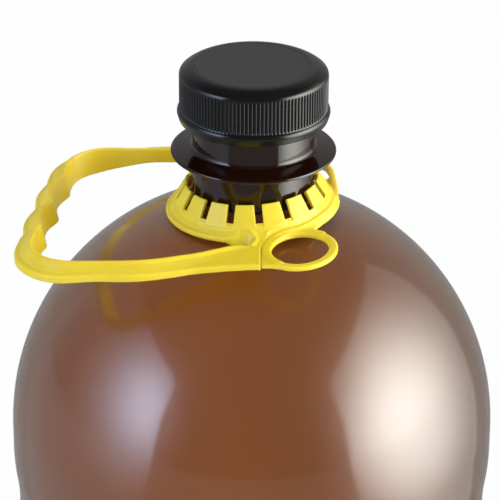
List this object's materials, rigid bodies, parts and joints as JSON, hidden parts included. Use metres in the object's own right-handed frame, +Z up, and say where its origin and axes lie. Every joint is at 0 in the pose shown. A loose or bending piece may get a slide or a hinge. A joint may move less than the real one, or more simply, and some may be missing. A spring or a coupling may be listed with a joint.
{
  "type": "pressure bottle with carry handle",
  "caption": "Large round amber PET bottle on petaloid feet, with a ribbed black screw cap and a yellow clip-on carry handle with finger grip and tear-off pull loop.",
  "frame": {"origin": "middle of the base, on the floor that the feet stand on", "axes": "+Z up along the neck axis, the handle's bail to -X, the side with the pull loop to -Y"},
  "size_m": [0.2036, 0.2036, 0.3721],
  "materials": {
    "body_pet": "clear amber PET, glossy",
    "neck_pet": "thick amber PET, glossy, looks nearly black",
    "cap_black": "moulded black polyolefin, satin gloss, matte disc on top",
    "liner_white": "soft sealing disc",
    "handle_yellow": "moulded yellow polyolefin, satin"
  },
  "bodies": {
    "bottle": {"neck_finish": "neck_pet", "support_flange": "neck_pet", "neck_flare": "body_pet", "shoulder_dome": "body_pet", "body_wall": "body_pet", "petaloid_base": "body_pet"},
    "liner": {"cap_liner": "liner_white"},
    "cap": {"screw_cap": "cap_black"},
    "collar": {"snap_collar": "handle_yellow", "hinge_necks": "handle_yellow", "tear_strap": "handle_yellow", "pull_loop": "handle_yellow"},
    "bail": {"front_arm": "handle_yellow", "rear_arm": "handle_yellow", "finger_grip": "handle_yellow"}
  },
  "joints": [
    {"name": "cap_lift", "type": "slide", "parent": "bottle", "child": "liner", "axis": [0, 0, 1], "range_m": [0, 0.0075]},
    {"name": "cap_turn", "type": "hinge", "parent": "liner", "child": "cap", "pos_m": [0, 0, 0.36], "axis": [0, 0, 1], "range_deg": [0, 540]},
    {"name": "collar_turn", "type": "hinge", "parent": "bottle", "child": "collar", "pos_m": [0, 0, 0.31], "axis": [0, 0, 1], "continuous": true},
    {"name": "bail_swing", "type": "hinge", "parent": "collar", "child": "bail", "pos_m": [0.0066, -0.0009, 0.30933], "axis": [0.1357, 0.9907, 0], "range_deg": [0, 100]}
  ],
  "couplings": [
    {"joint": "cap_lift", "follows": "cap_turn", "m_per_rad": 0.00079577}
  ]
}
